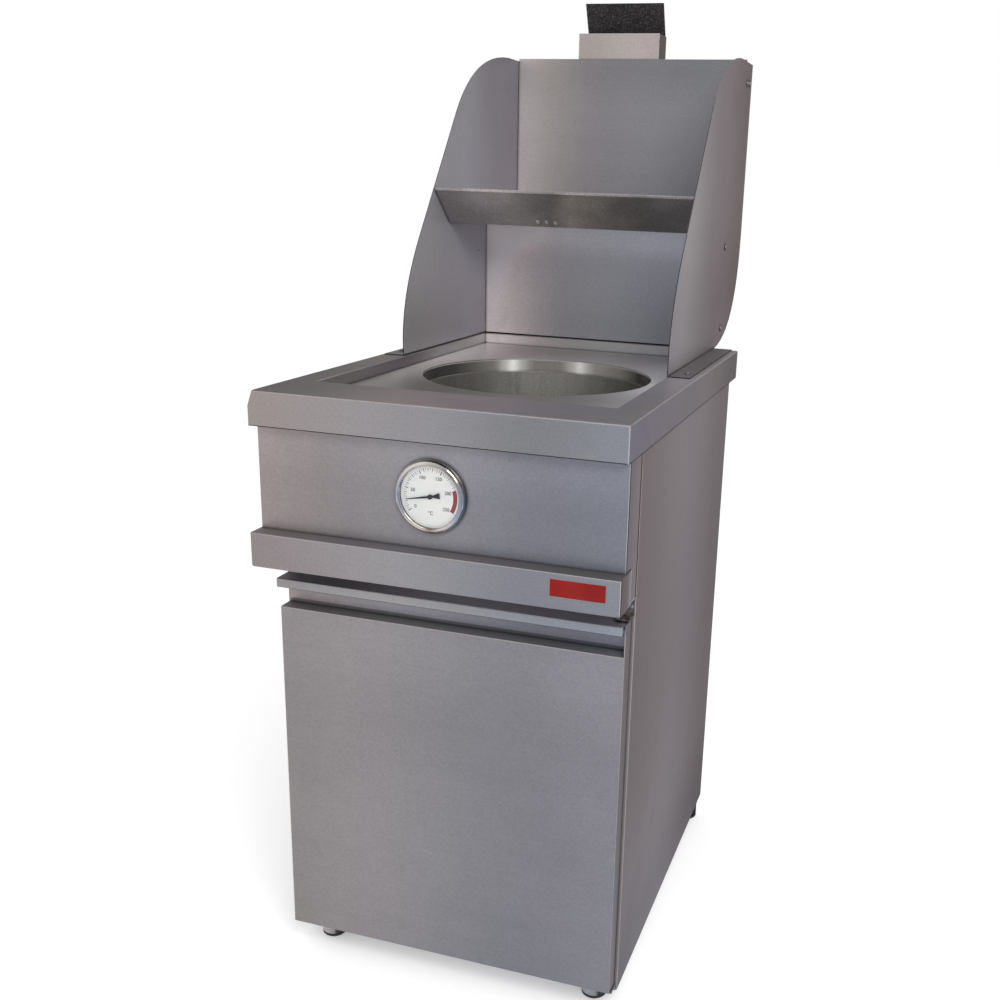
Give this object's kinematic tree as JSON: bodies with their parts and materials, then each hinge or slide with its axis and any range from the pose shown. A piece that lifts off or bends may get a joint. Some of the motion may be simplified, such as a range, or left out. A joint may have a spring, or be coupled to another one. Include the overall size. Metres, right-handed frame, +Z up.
{
  "type": "gas deep fryer",
  "caption": "Floor-standing stainless gas fryer: recessed worktop with a round pot, dial thermometer, cabinet door, curved splash guard with a shelf, and a flue behind it.",
  "frame": {"origin": "on the floor, in the middle of the full width and of the full depth from the front rail to the flue deflector", "axes": "+X to the right as seen from the front, +Y to the back, +Z up"},
  "size_m": [0.5, 0.906, 1.418],
  "materials": {
    "stainless": "brushed stainless steel",
    "shelf_stainless": "brushed stainless steel",
    "tank_steel": "drawn stainless steel",
    "grip_stainless": "brushed stainless steel",
    "sheet_steel": "plain steel sheet",
    "shroud_steel": "heat-marked steel sheet",
    "zinc_steel": "zinc-plated steel",
    "bezel_chrome": "polished",
    "dial_white": "matt white",
    "dial_glass": "clear",
    "needle_black": "matt black",
    "pad_black": "moulded",
    "buffer_rubber": "moulded",
    "catch_plastic": "moulded",
    "burner_iron": "cast",
    "brass": "turned",
    "valve_aluminium": "die-cast",
    "knob_black": "moulded",
    "button_red": "moulded",
    "lever_red": "plastic-coated steel",
    "deflector_black": "baked black paint"
  },
  "bodies": {
    "cabinet": {"worktop": "stainless", "pot_collar": "stainless", "tank_wall": "tank_steel", "tank_bottom": "tank_steel", "burner_shroud": "shroud_steel", "heat_shield": "sheet_steel", "base_pan": "sheet_steel", "side_panel_left": "stainless", "side_panel_right": "stainless", "rear_panel": "sheet_steel", "front_panel": "stainless", "front_rail": "stainless", "front_crossbar": "sheet_steel", "cross_rails": "sheet_steel", "foot_sockets": "sheet_steel", "thermometer_case": "zinc_steel", "thermometer_bezel": "bezel_chrome", "thermometer_dial": "dial_white", "thermometer_glass": "dial_glass", "thermometer_stem": "zinc_steel", "hinge_bracket_top": "zinc_steel", "hinge_bracket_bottom": "zinc_steel", "magnet_catch": "catch_plastic", "door_buffers": "buffer_rubber", "ring_burner": "burner_iron", "injector_pipe": "brass", "control_bracket": "sheet_steel", "gas_valve": "valve_aluminium", "igniter_body": "knob_black", "pilot_burner": "brass", "limit_thermostat": "valve_aluminium", "gas_inlet_pipe": "brass", "drain_pipe": "zinc_steel", "drain_valve": "brass", "guard_side_left": "stainless", "guard_side_right": "stainless", "guard_back_lower": "stainless", "guard_back_upper": "stainless", "guard_shelf": "shelf_stainless", "flue_elbow": "sheet_steel", "flue_riser": "sheet_steel", "flue_deflector": "deflector_black"},
    "door": {"door_skin": "stainless", "door_liner": "sheet_steel", "door_grip": "grip_stainless", "door_bushings": "zinc_steel", "door_strike": "zinc_steel"},
    "needle": {"thermometer_needle": "needle_black"},
    "foot_front_left": {"foot_screw_front_left": "zinc_steel", "foot_pad_front_left": "pad_black"},
    "foot_front_right": {"foot_screw_front_right": "zinc_steel", "foot_pad_front_right": "pad_black"},
    "foot_rear_left": {"foot_screw_rear_left": "zinc_steel", "foot_pad_rear_left": "pad_black"},
    "foot_rear_right": {"foot_screw_rear_right": "zinc_steel", "foot_pad_rear_right": "pad_black"},
    "gas_control": {"gas_knob": "knob_black"},
    "igniter": {"igniter_button": "button_red"},
    "drain_handle": {"drain_lever": "lever_red"}
  },
  "joints": [
    {"name": "door_hinge", "type": "hinge", "parent": "cabinet", "child": "door", "pos_m": [0.236, -0.3835, 0.3], "axis": [0, 0, 1], "range_deg": [0, 100]},
    {"name": "needle_turn", "type": "hinge", "parent": "cabinet", "child": "needle", "pos_m": [-0.005, -0.4305, 0.7345], "axis": [0, 1, 0], "range_deg": [-25, 225]},
    {"name": "foot_front_left_slide", "type": "slide", "parent": "cabinet", "child": "foot_front_left", "axis": [0, 0, -1], "range_m": [0, 0.02]},
    {"name": "foot_front_right_slide", "type": "slide", "parent": "cabinet", "child": "foot_front_right", "axis": [0, 0, -1], "range_m": [0, 0.02]},
    {"name": "foot_rear_left_slide", "type": "slide", "parent": "cabinet", "child": "foot_rear_left", "axis": [0, 0, -1], "range_m": [0, 0.02]},
    {"name": "foot_rear_right_slide", "type": "slide", "parent": "cabinet", "child": "foot_rear_right", "axis": [0, 0, -1], "range_m": [0, 0.02]},
    {"name": "gas_knob_turn", "type": "hinge", "parent": "cabinet", "child": "gas_control", "pos_m": [-0.096, -0.31, 0.415], "axis": [0, -1, 0], "range_deg": [0, 180]},
    {"name": "igniter_push", "type": "slide", "parent": "cabinet", "child": "igniter", "axis": [0, 1, 0], "range_m": [0, 0.006], "stiffness_N_per_m": 600, "springref_m": -0.004},
    {"name": "drain_lever_turn", "type": "hinge", "parent": "cabinet", "child": "drain_handle", "pos_m": [0, -0.2045, 0.44], "axis": [0, 0, 1], "range_deg": [-90, 0]}
  ]
}
